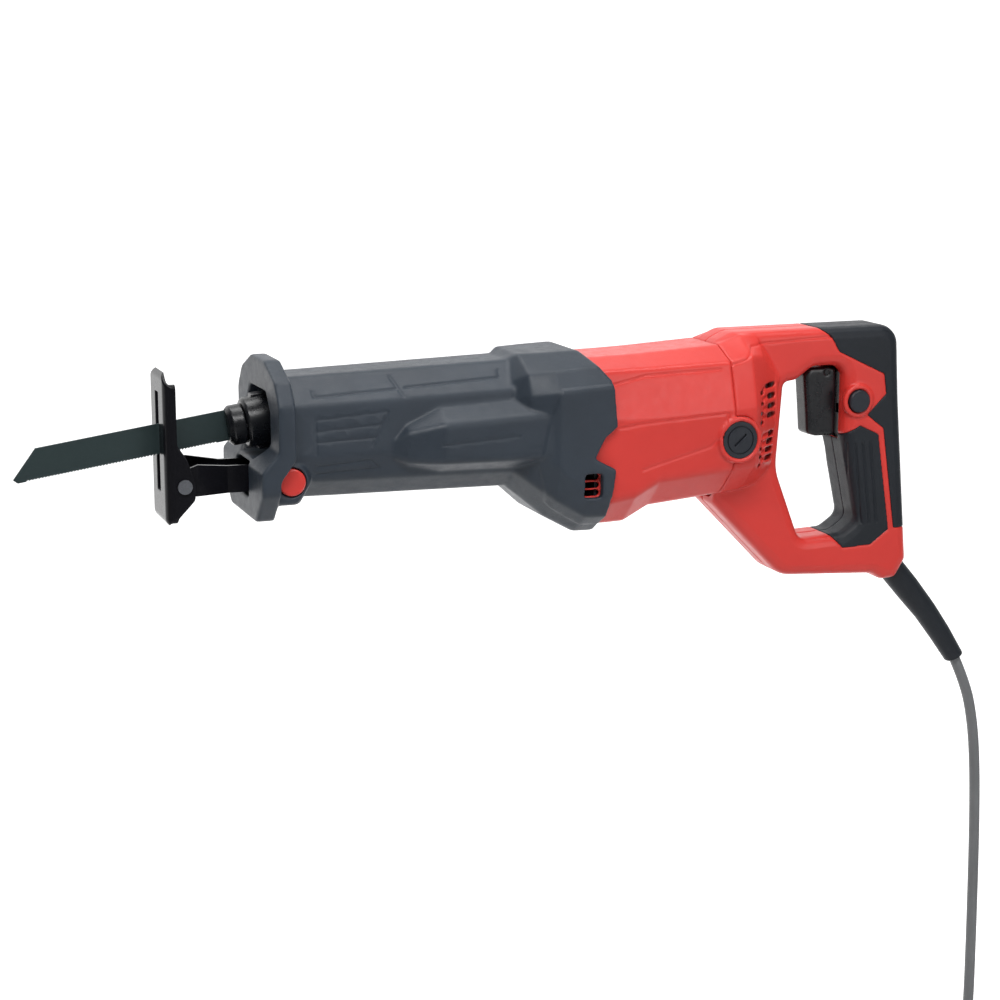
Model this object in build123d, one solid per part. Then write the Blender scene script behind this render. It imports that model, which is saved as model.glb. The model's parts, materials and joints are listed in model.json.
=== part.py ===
from build123d import *
import os
from math import acos, atan, cos, pi, radians, sin, tan

# Corded reciprocating saw, mm. Origin: the centre of the rear handle's grip.
# +X is rearwards (the blade points to -X), +Z is up and -Y is the operator's left.

# ---- Driving dimensions ----------------------------------------------------------------
MOTOR_Z = 25.5                  # height of the motor axis
BLADE_TILT = 8.2                # blade line, nose down, degrees
CLAMP_X, CLAMP_Z = -402.6, 44.8  # where the blade line meets the front of the clamp
STROKE = 28.0                   # blade travel, end to end
BLADE_LENGTH, BLADE_HEIGHT, BLADE_THICK = 128.8, 17.4, 1.3
BLADE_TOP = 9.4                 # top edge above the blade line
TOOTH_PITCH, TOOTH_DEPTH = 1.8, 0.9
PLUNGER_R = 7.0
SLEEVE_R, NOSE_R = 14.3, 11.5   # blade clamp
CRANK_U = 124.0                 # crank axis, along the blade line from the clamp point
GEAR_MODULE, PINION_TEETH, GEAR_TEETH = 1.4, 9, 45
GEAR_FACE = 8.0                 # tooth length along the pitch cone
PROFILE_SHIFT = 0.47            # taller pinion teeth, so that nine teeth are not undercut
PRESSURE = radians(20)
BACKLASH = 0.3
PIN_R, ROLLER_R = 3.5, 5.5
SLOT_PLAY = 3.3                 # room each side of the roller in the yoke's slot
COVER_WALL = 3.0                # rubber front cover
CASTING_WALL = 3.0              # gear housing
MOTOR_WALL = 2.5
HANDLE_HALF, HANDLE_WALL = 18.0, 3.0
GRIP_PAD = 1.4                  # soft grip thickness
PARTING_X = -113.0              # motor housing meets the handle
FLANGE_FRONT, FLANGE_REAR = -391.0, -381.0
BLOCK_STEP = 10.0               # the flange's lower block stands this far forward
SHOE_HALF, SHEET = 20.5, 2.2    # shoe: half width and sheet thickness
RIVET_X, RIVET_Z = -438.3, 14.7  # shoe pivot
ARM_HALF, ARM_LOW, ARM_HIGH = 12.0, 8.0, 22.5
SHOE_TRAVEL = 30.0
BUTTON_X, BUTTON_Z, BUTTON_R = -381.5, 16.5, 7.6
ARMATURE_R, FIELD_R = 19.0, 33.0
CORE_FRONT, CORE_REAR = -190.0, -138.0
COMMUTATOR_R, BRUSH_X = 12.0, -110.0
CAP_R, BOSS_R = 11.0, 14.0      # brush cap and the ring around it
TRIGGER_HALF = 7.5
LOCK_X, LOCK_Z, LOCK_R = -17.0, 40.0, 6.9
CORD_D = 7.0
RING_R, RING_SECTION = 42.0, 11.0   # hanging coil: middle radius and bundle radius
GAP = 0.3                       # clearance between parts that move past each other

# ---- Frames and outlines ---------------------------------------------------------------
TILT = radians(BLADE_TILT)
BLADE_LINE = Plane(origin=(CLAMP_X, 0, CLAMP_Z), x_dir=(cos(TILT), 0, sin(TILT)),
                   z_dir=(-sin(TILT), 0, cos(TILT)))
CRANK_Z = CLAMP_Z + CRANK_U * sin(TILT)
APEX_DROP = (CRANK_Z - MOTOR_Z) / cos(TILT)     # gear apex below the blade line
APEX_X = CLAMP_X + CRANK_U * cos(TILT) + APEX_DROP * sin(TILT)


def cross_plane(x):
    """The plane across the saw at x: its own axes are Y and Z."""
    return Plane(origin=(x, 0, 0), x_dir=(0, 1, 0), z_dir=(1, 0, 0))


def side_plane(y):
    """The plane along the saw at y: its own axes are X and Z."""
    return Plane(origin=(0, y, 0), x_dir=(1, 0, 0), z_dir=(0, -1, 0))


def inset(corners, depth):
    """The outline moved inwards; corners are (u, v, radius), anticlockwise."""
    moved = []
    for i, (u, v, r) in enumerate(corners):
        here = Vector(u, v)
        back = (Vector(*corners[i - 1][:2]) - here).normalized()
        on = (Vector(*corners[(i + 1) % len(corners)][:2]) - here).normalized()
        side = 1 if on.cross(back).Z > 0 else -1
        half = radians(back.get_angle(on)) / 2
        spot = here + (back + on).normalized() * (side * depth / sin(half))
        moved.append((spot.X, spot.Y, max(r - side * depth, 0.4)))
    return moved


def rounded_face(plane, corners):
    """A closed face with an arc at each corner (u, v, radius)."""
    starts, ends, arcs = [], [], []
    for i, (u, v, r) in enumerate(corners):
        here = Vector(u, v)
        back = (Vector(*corners[i - 1][:2]) - here).normalized()
        on = (Vector(*corners[(i + 1) % len(corners)][:2]) - here).normalized()
        half = radians(back.get_angle(on)) / 2
        inward = (back + on).normalized()
        starts.append(here + back * (r / tan(half)))
        ends.append(here + on * (r / tan(half)))
        middle = here + inward * (r / sin(half) - r)
        arcs.append(ThreePointArc(starts[-1], middle, ends[-1]))
    edges = []
    for i, arc in enumerate(arcs):
        edges += [Line(ends[i - 1], starts[i]), arc]
    return plane * Face(Wire(edges))


def both_sides(half):
    """Corners of a section from its +Y half, which is listed from the bottom up."""
    return half + [(-y, z, r) for y, z, r in reversed(half)]


def body_along(stations, depth=0.0):
    """A ruled body through sections (x, half outline), each moved in by depth."""
    faces = [rounded_face(cross_plane(x), inset(both_sides(half), depth) if depth
                          else both_sides(half)) for x, half in stations]
    return loft(faces, ruled=True)


def pillow(corners, half, layers, grow=1):
    """A plate in XZ whose rims are eased: layers are (inset, drop from the face)."""
    steps = [(-(half - drop), depth) for depth, drop in layers]
    steps += [(half - drop, depth) for depth, drop in reversed(layers)]
    faces = [rounded_face(side_plane(y), inset(corners, grow * depth)) for y, depth in steps]
    return loft(faces, ruled=True)


def prism(corners, low, high):
    """An outline in XZ, straight through from y low to y high."""
    return extrude(side_plane(high) * make_face(Polyline(*corners, close=True)), high - low)


def box(low, high):
    """A box between two corners."""
    size = [b - a for a, b in zip(low, high)]
    middle = [(a + b) / 2 for a, b in zip(low, high)]
    return Pos(*middle) * Box(*size)


def rod(start, end, radius):
    """A round bar between two points."""
    a, b = Vector(*start), Vector(*end)
    plane = Plane(origin=a, z_dir=b - a)
    return extrude(plane * Circle(radius), (b - a).length)


def ring(start, end, outer, inner):
    """A round sleeve between two points."""
    return rod(start, end, outer) - rod(start, end, inner)


def on_motor(x0, x1, radius):
    """A round bar on the motor axis."""
    return rod((x0, 0, MOTOR_Z), (x1, 0, MOTOR_Z), radius)


def polar(count, shape, axis, first=0.0):
    """Copies of a shape turned about an axis."""
    return [shape.rotate(axis, first + 360.0 * i / count) for i in range(count)]


MOTOR_AXIS = Axis((0, 0, MOTOR_Z), (1, 0, 0))

# ---- Outer shapes: sections (x, +Y half outline from the bottom up) -----------------------
GRIP = [
    (-386, [(17, 3.7, 6), (32, 16, 8), (36.5, 30, 8), (33.5, 58.0, 3), (15, 72.2, 7)]),
    (-246, [(17, 1.9, 6), (32, 14, 8), (36.5, 30, 8), (33.8, 61.4, 3), (16, 76.4, 7)]),
    (-238, [(17, 1.7, 6), (32, 14, 8), (36.5, 30, 8), (33.8, 61.6, 3), (16, 76.6, 7)])]
BULGE = [
    (-326, [(22, 24, 2), (34.5, 27, 2), (34.5, 33, 2), (22, 36, 2)]),
    (-314, [(28, 18, 3), (41, 24, 5), (41, 41, 5), (28, 49, 3)]),
    (-294, [(30, 15, 3), (47, 23.5, 5), (46.5, 45, 5), (30, 57, 3)]),
    (-226, [(30, 14, 3), (47.5, 22.5, 5), (47, 48, 5), (30, 60, 3)])]
BELLY = [
    (-249, [(14, 2.5, 3), (31, 14, 4), (36, 30, 4), (35, 55, 4), (30, 65, 3), (12, 75, 3)]),
    (-241, [(18, -4, 5), (37, 8, 6), (43, 28, 6), (43, 58, 4), (37, 70, 3), (19, 79.5, 5)]),
    (-226, [(22, -17, 8), (43, -3, 6), (48.5, 16, 8), (48.5, 60, 4), (40, 71.5, 3), (21, 80, 5)]),
    (-208, [(24, -27, 8), (43, -14, 6), (48.5, 0, 8), (48.5, 62, 4), (40, 73, 3), (22, 80.6, 5)]),
    (-184, [(24, -27.5, 8), (43, -15, 6), (48.5, -1, 8), (48.5, 62.5, 4), (40, 73.6, 3),
            (22, 80.2, 5)])]
MOTOR = [
    (-224, [(22, -10.5, 8), (41, 4, 8), (45, 42, 5), (37, 69.4, 4), (18, 75.2, 6)]),
    (-208, [(24, -21.5, 8), (42, -7, 8), (45.2, 42, 5), (37, 69.5, 4), (18, 75.4, 6)]),
    (-190, [(24, -23.6, 8), (44, -6, 8), (45.3, 42, 5), (37, 69.6, 4), (18, 75.6, 6)]),
    (-176, [(24, -23.2, 8), (43.8, -4, 8), (45.3, 41.5, 5), (37, 69.8, 4), (18, 76, 6)]),
    (-160, [(24, -14.8, 8), (43, 4, 8), (45.3, 41.5, 5), (37, 70, 4), (18, 76.6, 6)]),
    (PARTING_X, [(24, -10.8, 8), (43, 8, 8), (45.3, 43.5, 5), (37, 71.2, 4), (18, 79.4, 6)])]
HANDLE_END = [
    (PARTING_X, MOTOR[-1][1]),
    (-98, [(22, -9.4, 8), (41, 8.5, 8), (43.2, 44, 5), (35.5, 73.5, 4), (17, 84.6, 6)]),
    (-87, [(18, -7.5, 6), (31, 8, 6), (32.5, 44, 5), (28, 72, 4), (15, 84.6, 6)]),
    (-76, [(14, -3, 5), (21.5, 8, 5), (22.5, 44, 4), (20, 62, 3), (13, 76, 4)]),
    (-65.5, [(12, 4, 4), (17.5, 10, 4), (17.8, 44, 3), (16, 52, 3), (12, 58, 4)])]
FLANGE_OUTLINE = both_sides([
    (30, -6.5, 6), (48, 12, 8), (48, 61, 8), (38.5, 73, 6), (15, 82.4, 6)])
FLANGE_OPENING = both_sides([(15, 27, 3), (28, 38, 3), (28, 54, 4), (18, 65, 4)])
COVER_REAR_EDGE = [
    (-209, 86), (-200, 75), (-192.5, 65), (-190, 38.5), (-197.5, 32.5), (-204, 20.5),
    (-190.5, 13.5), (-194, -11), (-196, -32)]

# ---- Handle outlines in XZ: (x, z, radius), anticlockwise ----------------------------------
D_OUTER = [(-119, -13, 3), (-65.5, -68, 18), (-1, -72, 8), (6, -76.4, 5), (16, -76, 5),
           (23.4, -63.5, 4), (14.6, 38, 60), (11.6, 86.4, 13), (-101, 86, 10), (-111, 81.4, 8),
           (-119, 72, 3)]
D_INNER = [(-69.4, 0, 30), (-52.5, -44.5, 6), (-25, -43.5, 8), (-14, -36, 6), (-25.4, 17, 20),
           (-25.4, 61.8, 8), (-46, 61.8, 9), (-57.5, 53.8, 4), (-65.6, 52.6, 3)]
REAR_PAD = [(-52, 92), (-42.8, 85.6), (-36.1, 80.7), (-30.5, 71), (1.3, 55.8), (3.1, 43.2),
            (-9.8, 30.7), (2, 21.6), (11.3, -42.3), (40, -42.3), (40, 92)]
FRONT_PAD = [(-14.3, 24.4), (-23.4, 19.5), (-34, 14.6), (-46, 10), (-46, -40), (-32, -44),
             (-24, -52.6), (-4.7, -51.8), (7.9, -42.7), (-1.3, 18.2)]
RIM = [(7.0, 0.0), (3.4, 1.2), (1.3, 3.4), (0.4, 6.5)]      # eased rim: (inset, drop)
RIM_FLARE = 8.2                 # the hand opening's inset where it meets the motor end
VENT_ROWS = [(54, 9), (47.6, 7), (41.6, 7), (36, 7), (24.6, 5), (20, 7), (15, 8), (10, 8)]
HANDLE_SCREWS = [(2.5, 68), (-56, 74), (-86, -33), (11, -30), (-52, -57)]


def handle_blank(depth):
    """The whole handle unit, moved in by depth."""
    front, rear = PARTING_X, HANDLE_END[-1][0]
    layers = [(extra + depth, drop) for extra, drop in RIM]
    plate = pillow(D_OUTER, HANDLE_HALF - depth, layers)
    flared = [(RIM_FLARE + depth, -6.0)] + layers
    opening = pillow(D_INNER, HANDLE_HALF - depth + 0.01, flared, grow=-1)
    cap = body_along(HANDLE_END, depth)
    if depth:
        cap -= box((rear - depth, -60, -60), (rear + 5, 60, 120))
    return (cap + plate) - opening - box((front - 20, -60, -60), (front, 60, 120))


# ---- Bevel gears --------------------------------------------------------------------------
SHAFT_ANGLE = radians(90 + BLADE_TILT)
RATIO = GEAR_TEETH / PINION_TEETH
PINION_CONE = atan(sin(SHAFT_ANGLE) / (RATIO + cos(SHAFT_ANGLE)))
GEAR_CONE = SHAFT_ANGLE - PINION_CONE
GEAR_R = GEAR_MODULE * GEAR_TEETH / 2
CONE_LENGTH = GEAR_R / sin(GEAR_CONE)
APEX = Vector(APEX_X, 0, MOTOR_Z)
THICKNESS = pi * GEAR_MODULE / 2 - BACKLASH / 2
SHIFT_GAIN = 2 * PROFILE_SHIFT * GEAR_MODULE * tan(PRESSURE)
GEAR_AXIS = Axis(APEX, BLADE_LINE.z_dir)
GEAR_FRAME = Plane(origin=APEX, x_dir=BLADE_LINE.x_dir, z_dir=BLADE_LINE.z_dir)
PINION_FRAME = Plane(origin=APEX, x_dir=(0, 0, 1), z_dir=(1, 0, 0))
GEAR_ROOT, PINION_ROOT = 1.72 * GEAR_MODULE, 0.78 * GEAR_MODULE     # below the pitch cone


def rack_profile():
    """Half of a straight-sided gear tooth: (half thickness, height)."""
    top = (1 - PROFILE_SHIFT) * GEAR_MODULE - 0.05
    half = (THICKNESS - SHIFT_GAIN) / 2
    return [(half - h * tan(PRESSURE), h) for h in (-GEAR_ROOT - 0.3, 0.0, top)]


def involute_profile():
    """Half of an involute pinion tooth: (half thickness, height)."""
    pitch = CONE_LENGTH * tan(PINION_CONE)
    base = pitch * cos(PRESSURE)
    turn = (THICKNESS + SHIFT_GAIN) / (2 * pitch) + tan(PRESSURE) - PRESSURE
    radii = [pitch - PINION_ROOT - 0.3] + [base + i * 0.55 for i in range(4)]
    radii.append(pitch + 1.4 * GEAR_MODULE)
    points = []
    for radius in radii:
        slope = acos(min(base / radius, 1.0))
        angle = turn - (tan(slope) - slope)
        points.append((radius * sin(angle), radius * cos(angle) - pitch))
    return points


def bevel_tooth(frame, cone, profile):
    """One tooth whose flanks run to the apex, on the side of the frame's own X."""
    along = frame.x_dir * sin(cone) + frame.z_dir * cos(cone)
    outward = frame.x_dir * cos(cone) - frame.z_dir * sin(cone)
    across = along.cross(outward)
    outline = [(s, h) for s, h in profile] + [(-s, h) for s, h in reversed(profile)]
    faces = []
    for share in (1 - GEAR_FACE / CONE_LENGTH, 1.0):
        corners = [frame.origin + (along * CONE_LENGTH + across * s + outward * h) * share
                   for s, h in outline]
        faces.append(Face(Wire(Polyline(*corners, close=True).edges())))
    return loft(faces, ruled=True)


def root_points(cone, root):
    """Outer and inner end of the root cone: (radius, height above the apex)."""
    spots = []
    for share in (1.0, 1 - GEAR_FACE / CONE_LENGTH):
        radius = (CONE_LENGTH * sin(cone) - root * cos(cone)) * share
        spots.append((radius, (CONE_LENGTH * cos(cone) + root * sin(cone)) * share))
    return spots


def turned(frame, points):
    """A solid of revolution about the frame's Z from (radius, height) points."""
    face = make_face(Polyline(*[frame.from_local_coords((r, 0, h)) for r, h in points],
                              close=True))
    return revolve(face, Axis(frame.origin, frame.z_dir))


def crank_gear():
    outer, inner = root_points(GEAR_CONE, GEAR_ROOT)
    top = outer[1] + 5.5
    blank = turned(GEAR_FRAME, [(7, inner[1] - 2), (13, inner[1] - 2), (15, inner[1]), inner,
                                outer, (outer[0], top), (24, top), (22, top - 1.5),
                                (11, top - 1.5), (10, top), (7, top)])
    tooth = bevel_tooth(GEAR_FRAME, GEAR_CONE, rack_profile())
    pin_hole = BLADE_LINE * (Pos(CRANK_U, STROKE / 2, -30) * Cylinder(PIN_R, 40))
    return blank + polar(GEAR_TEETH, tooth, GEAR_AXIS) - pin_hole


def pinion():
    outer, inner = root_points(PINION_CONE, PINION_ROOT)
    blank = turned(PINION_FRAME, [(2.5, inner[1]), inner, outer, (outer[0], outer[1] + 1.5),
                                  (2.5, outer[1] + 1.5)])
    tooth = bevel_tooth(PINION_FRAME, PINION_CONE, involute_profile())
    return blank + polar(PINION_TEETH, tooth, MOTOR_AXIS, first=180 / PINION_TEETH)


# ---- Blade, clamp and crank drive, in the blade line's own frame (u rearwards, w up) ---------
def in_line(shape):
    """Moves a shape from the blade line's frame into the saw's."""
    return BLADE_LINE * shape


def tube(u0, u1, outer, inner=0.0):
    """A round bar or sleeve along the blade line."""
    bar = Pos((u0 + u1) / 2, 0, 0) * Rot(0, 90, 0) * Cylinder(outer, u1 - u0)
    return bar - Pos((u0 + u1) / 2, 0, 0) * Rot(0, 90, 0) * Cylinder(inner, u1 - u0 + 2) \
        if inner else bar


def blade():
    low = BLADE_TOP - BLADE_HEIGHT
    tip, tang = -BLADE_LENGTH, 11.0
    edge = [(tang, -5.5), (6, -5.5), (-6, low), (-14, low)]
    count = int((BLADE_LENGTH - 20) / TOOTH_PITCH)
    for i in range(count):
        u = -14 - i * TOOTH_PITCH
        edge += [(u - 0.4, low + TOOTH_DEPTH), (u - TOOTH_PITCH, low)]
    edge += [(tip + 2.2, low), (tip, low + 2.2), (tip + 15, BLADE_TOP), (-6, BLADE_TOP),
             (2, 6.5), (tang, 6.5)]
    sheet = extrude(Plane.XZ * make_face(Polyline(*edge, close=True)), BLADE_THICK / 2, both=True)
    return in_line(sheet - Pos(5, 0, 0) * Rot(90, 0, 0) * Cylinder(2.2, 10))


def blade_slot(u0, u1):
    return box((u0, -BLADE_THICK / 2 - 0.1, -8.2), (u1, BLADE_THICK / 2 + 0.1, 9.8))


def clamp_nose():
    nose = tube(-7, 2.6, NOSE_R)
    nose = chamfer(nose.edges().sort_by(Axis.X)[0], 2.6)
    nose += tube(2.6, 16, 9.6)
    pocket = blade_slot(-20, 11.2)
    pin_hole = Pos(5, 0, 0) * Rot(90, 0, 0) * Cylinder(2.1, 30)
    return in_line(nose - pocket - pin_hole - tube(12, 18, 6.2))


def clamp_pin():
    return in_line(Pos(5, -0.15, 0) * Rot(90, 0, 0) * Cylinder(2.1, 18.6))


def clamp_sleeve():
    sleeve = tube(3.0, 20, SLEEVE_R, 9.65)
    rim = sleeve.edges().filter_by(GeomType.CIRCLE).filter_by(lambda e: e.radius > SLEEVE_R - 0.1)
    sleeve = chamfer(rim, 1.4)
    lugs = [Rot(180 * i, 0, 0) * box((9, -4, 13), (19, 4, SLEEVE_R + 1.6)) for i in range(2)]
    cam = [Rot(180 * i, 0, 0) * box((3.5, 9.4, -3.4), (7.4, 11.6, 3.4)) for i in range(2)]
    return in_line(sleeve + lugs - cam)


def plunger():
    bar = tube(16, 108, PLUNGER_R) + tube(12, 16, 6.15)
    flat = box((99, -10, -12), (110, 10, -6))
    holes = [Pos(u, 0, -4) * Cylinder(1.5, 8) for u in YOKE_SCREWS]
    return in_line(bar - flat - holes)


YOKE_SCREWS = (102.0, 106.0)
YOKE_TOP, YOKE_LOW = -6.0, -16.0


def drive_yoke():
    reach = ROLLER_R + SLOT_PLAY
    half = STROKE / 2 + ROLLER_R + 0.6
    block = box((99, -9, YOKE_LOW), (112, 9, YOKE_TOP))
    block += box((CRANK_U - reach - 5, -half - 3, YOKE_LOW), (CRANK_U + reach + 4, half + 3, YOKE_TOP))
    slot = box((CRANK_U - reach, -half, YOKE_LOW - 1), (CRANK_U + reach, half, YOKE_TOP + 1))
    holes = []
    for u in YOKE_SCREWS:
        holes += [Pos(u, 0, -10) * Cylinder(1.5, 20), Pos(u, 0, YOKE_LOW) * Cylinder(1.9, 5)]
    return in_line(block - slot - holes)


def yoke_screws():
    screws = [Pos(u, 0, -7.5) * Cylinder(1.5, 13) + Pos(u, 0, YOKE_LOW + 1.25) * Cylinder(1.9, 2.5)
              for u in YOKE_SCREWS]
    return [in_line(screw) for screw in screws]


def crank_shaft():
    shaft = Pos(CRANK_U, 0, -40) * Cylinder(7, 24)
    return in_line(shaft - Pos(CRANK_U, 0, -52) * Cylinder(2, 10))


def crank_pin():
    pin = Pos(CRANK_U, STROKE / 2, -20.6) * Cylinder(PIN_R, 26.8)
    washer = Pos(CRANK_U, STROKE / 2, -17.2) * Cylinder(PIN_R + 1.2, 1.6)
    return in_line(pin + washer)


def crank_roller():
    return in_line(Pos(CRANK_U, STROKE / 2, -11.6) * (Cylinder(ROLLER_R, 8) - Cylinder(PIN_R, 10)))


def crank_bearing():
    return in_line(Pos(CRANK_U, 0, -45.5) * (Cylinder(14, 9) - Cylinder(7.04, 20)))


BUSHES = {"plunger_front_bush": (40, 66), "plunger_rear_bush": (72, 82)}
SEAL = (36, 40)


def plunger_bush(name):
    return in_line(tube(*BUSHES[name], 10, PLUNGER_R + 0.05))


def plunger_seal():
    return in_line(tube(*SEAL, 10, PLUNGER_R + 0.25))


# ---- Gear casting and front cover ------------------------------------------------------------
FEED = {"low": 5.5, "high": 25.0}      # the shoe arm's channel through the nose


def casting_blank(depth):
    body = body_along(GRIP, depth) + body_along(BULGE, depth)
    return body - box((-500, -60, -60), (-378, 60, 120))


def gear_housing():
    nose_end = -328
    body = casting_blank(COVER_WALL + 0.2)
    body += body_along(BELLY, COVER_WALL + 0.9) & box((-248, -60, -60), (-242, 60, 120))
    body -= box((-243, -60, -60), (-200, 60, 120))
    hollow = casting_blank(COVER_WALL + 0.2 + CASTING_WALL) & box((nose_end, -60, -60),
                                                                  (-240, 60, 120))
    body -= hollow
    body -= box((-400, -60, -20), (nose_end + 3, 60, 30.5))
    webs = in_line(tube(66, 85, 14)) & casting_blank(COVER_WALL + 0.3)
    boss = in_line(Pos(CRANK_U, 0, -50) * Cylinder(17.5, 18)) & casting_blank(COVER_WALL + 0.3)
    body += webs + boss
    body -= in_line(tube(-60, 35.5, 17.6)) + in_line(tube(30, 72, 10))
    body -= in_line(tube(70, 86, 10))
    body -= in_line(Pos(CRANK_U, 0, -45.5) * Cylinder(14, 9.01))
    body -= in_line(Pos(CRANK_U, 0, -45.5) * Cylinder(8, 14))
    body -= on_motor(-250, -235, 10)
    body -= [rod((-260, y, z), (-230, y, z), 2.0) for y, z in CASE_SCREWS]
    return body.solids().sort_by(SortBy.VOLUME)[-1]


CASE_SCREWS = [(29, 61), (-29, 61), (27, 12), (-27, 12)]
BEARING_FRONT = (-238.5, -230.5)


def gear_housing_cover():
    plate = body_along(BELLY, COVER_WALL + 0.9) & box((-242.9, -60, -60), (-229, 60, 120))
    plate -= on_motor(BEARING_FRONT[0], -220, 13)
    plate -= on_motor(-250, -230, 9.6)
    plate -= in_line(box((90, -26, -18), (160, 26, 12)))
    plate -= box((-236, -26, 44), (-228, 26, 70))
    for y, z in CASE_SCREWS:
        plate -= rod((-250, y, z), (-220, y, z), 2.0)
        plate -= rod((-232, y, z), (-220, y, z), 3.6)
    return plate.solids().sort_by(SortBy.VOLUME)[-1]


def case_screws():
    return [rod((-243, y, z), (-232, y, z), 2.0) + rod((-232, y, z), (-229.4, y, z), 3.5)
            for y, z in CASE_SCREWS]


def flange():
    outline = rounded_face(cross_plane(FLANGE_FRONT - BLOCK_STEP), FLANGE_OUTLINE)
    slab = extrude(outline, FLANGE_REAR - FLANGE_FRONT + BLOCK_STEP)
    front, rear = FLANGE_FRONT, FLANGE_REAR
    side = [(front, 90), (front, 35), (front - BLOCK_STEP, 24), (front - BLOCK_STEP, -10),
            (rear - BLOCK_STEP + 1, -10), (rear - BLOCK_STEP + 1, 18), (rear, 31), (rear, 90)]
    plate = slab & prism(side, -60, 60)
    return plate


def front_cover():
    shell = body_along(GRIP) + body_along(BULGE) + body_along(BELLY)
    shell -= box((-500, -60, -60), (-389, 60, 120))
    shell += flange()
    shell += loft([rounded_face(side_plane(y), [(-392, 3 + d, 3), (-377 - d, 3 + d, 4),
                                                (-369 - d, 16, 6), (-374 - d, 27 - d, 6),
                                                (-392, 27 - d, 3)])
                   for y, d in ((-38, 2), (-35, 0), (35, 0), (38, 2))], ruled=True)
    shell -= casting_blank(COVER_WALL)
    shell -= body_along(BELLY, COVER_WALL + 0.7) & box((-248, -60, -60), (-224, 60, 120))
    shell -= body_along(MOTOR, -0.2) & box((-226, -60, -60), (-180, 60, 120))
    shell -= prism(COVER_REAR_EDGE + [(-150, -40), (-150, 90)], -70, 70)
    mouth = rounded_face(cross_plane(-402), FLANGE_OPENING)
    shell -= extrude(mouth, 25)
    shell -= box((-410, -ARM_HALF - 2, FEED["low"]), (-377, ARM_HALF + 2, FEED["high"]))
    shell -= rod((BUTTON_X, -50, BUTTON_Z), (BUTTON_X, -20, BUTTON_Z), BUTTON_R + 0.6)
    for side in (-1, 1):
        shell -= box((-210, min(side * 40, side * 60), -2.7), (-199.4, max(side * 40, side * 60), 11.7))
    return shell.solids().sort_by(SortBy.VOLUME)[-1]


# ---- Shoe --------------------------------------------------------------------------------------
def shoe_plate():
    """A pressed channel: the slotted face, its bent sides and the two pivot ears."""
    outer = [(-448.6, -8.5, 5), (-442.6, -8.5, 2), (-441.9, -3.5, 3), (-432.4, 6.5, 4),
             (-431.6, 15, 5), (-436.5, 30, 8), (-441.9, 38, 5), (-441.9, 79, 2), (-448.6, 79, 5)]
    inner = [(-446.4, -20, 1), (-420, -20, 1), (-420, 90, 1), (-446.4, 90, 1)]
    block = extrude(rounded_face(side_plane(0), outer), SHOE_HALF, both=True)
    plate = block - extrude(rounded_face(side_plane(0), inner), SHOE_HALF - SHEET, both=True)
    front = Plane(origin=(-460, 0, 0), x_dir=(0, -1, 0), z_dir=(-1, 0, 0))
    shape = both_sides([(15.5, -8.5, 3), (SHOE_HALF, -4.5, 4), (SHOE_HALF, 70.5, 3), (10, 79, 4)])
    plate &= extrude(rounded_face(front, shape), -60)
    plate -= box((-470, -4, 10), (-445, 4, 66))
    return plate - rod((RIVET_X, -40, RIVET_Z), (RIVET_X, 40, RIVET_Z), 3.05)


def shoe_rivet():
    reach = SHOE_HALF + 1.6
    pin = rod((RIVET_X, -reach, RIVET_Z), (RIVET_X, reach, RIVET_Z), 3.0)
    for side in (-1, 1):
        pin += rod((RIVET_X, side * (SHOE_HALF + 0.05), RIVET_Z),
                   (RIVET_X, side * (SHOE_HALF + 1.6), RIVET_Z), 4.1)
    return pin


def shoe_arm():
    wide = SHOE_HALF - SHEET - 0.8
    def channel(grow, floor):
        stations = [(-443, wide, 8.6, 21.5), (-430, wide, 8.2, 26), (-412, ARM_HALF, ARM_LOW, 23.5),
                    (-348, ARM_HALF, ARM_LOW, ARM_HIGH)]
        faces = []
        for x, half, low, high in stations:
            outline = [(-half + grow, low + floor), (half - grow, low + floor),
                       (half - grow, high + floor), (-half + grow, high + floor)]
            faces.append(cross_plane(x) * make_face(Polyline(*outline, close=True)))
        return loft(faces, ruled=True)
    arm = channel(0, 0) - channel(2.0, 2.0)
    return arm - rod((RIVET_X, -40, RIVET_Z), (RIVET_X, 40, RIVET_Z), 3.0)


def shoe_lock_button():
    cap = rod((BUTTON_X, -39, BUTTON_Z), (BUTTON_X, -24, BUTTON_Z), BUTTON_R)
    return chamfer(cap.edges().sort_by(Axis.Y)[0], 0.8)


# ---- Motor -----------------------------------------------------------------------------------------
def armature_shaft():
    seat = APEX_X + root_points(PINION_CONE, PINION_ROOT)[0][1] + 1.5
    return on_motor(seat, -92, 5) + on_motor(-92, -79, 4) + on_motor(-251.5, seat, 2.5)


def armature_core():
    slots = polar(12, box((CORE_FRONT - 1, -1.6, MOTOR_Z + 9), (CORE_REAR + 1, 1.6, MOTOR_Z + 20)),
                  MOTOR_AXIS)
    return on_motor(CORE_FRONT, CORE_REAR, ARMATURE_R) - on_motor(-300, 0, 5) - slots


def armature_windings():
    ends = on_motor(CORE_FRONT - 9, CORE_FRONT, 15.5) + on_motor(CORE_REAR, CORE_REAR + 9, 15.5)
    bars = polar(12, box((CORE_FRONT - 0.5, -1.6, MOTOR_Z + 9), (CORE_REAR + 0.5, 1.6, MOTOR_Z + 15)),
                 MOTOR_AXIS)
    return ends + bars - on_motor(-300, 0, 5)


def commutator():
    slits = polar(24, box((-121, -0.3, MOTOR_Z + 10.6), (-99, 0.3, MOTOR_Z + 14)), MOTOR_AXIS)
    return on_motor(-122, -98, COMMUTATOR_R) - on_motor(-300, 0, 5) - slits


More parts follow.
